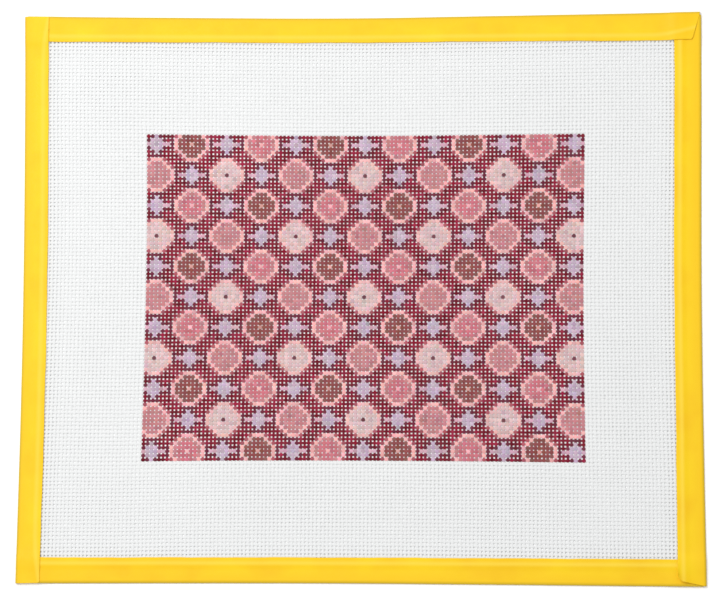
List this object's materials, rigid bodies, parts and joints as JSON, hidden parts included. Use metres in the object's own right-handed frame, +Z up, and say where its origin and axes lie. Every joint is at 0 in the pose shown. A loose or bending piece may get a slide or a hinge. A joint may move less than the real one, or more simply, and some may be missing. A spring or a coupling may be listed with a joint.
{
  "type": "needlepoint canvas panel",
  "caption": "Flat rectangle of open mono needlepoint canvas with a painted roundel and star chart in its middle, bound on all four edges with folded yellow cloth tape.",
  "frame": {"origin": "centre of the overall rectangle, on the surface that the panel lies on", "axes": "+X along the long sides, +Y towards the chart's upper edge, +Z up out of the painted face"},
  "size_m": [0.3468, 0.2928, 0.007],
  "materials": {
    "mono_canvas": "sized white cotton mono canvas, 13 threads to the inch, painted with matt acrylic in the middle",
    "binding_tape": "yellow cloth tape, soft satin"
  },
  "bodies": {
    "root": {"canvas": "mono_canvas", "binding_bottom": "binding_tape", "binding_right": "binding_tape", "binding_top": "binding_tape", "binding_left": "binding_tape"}
  },
  "joints": []
}
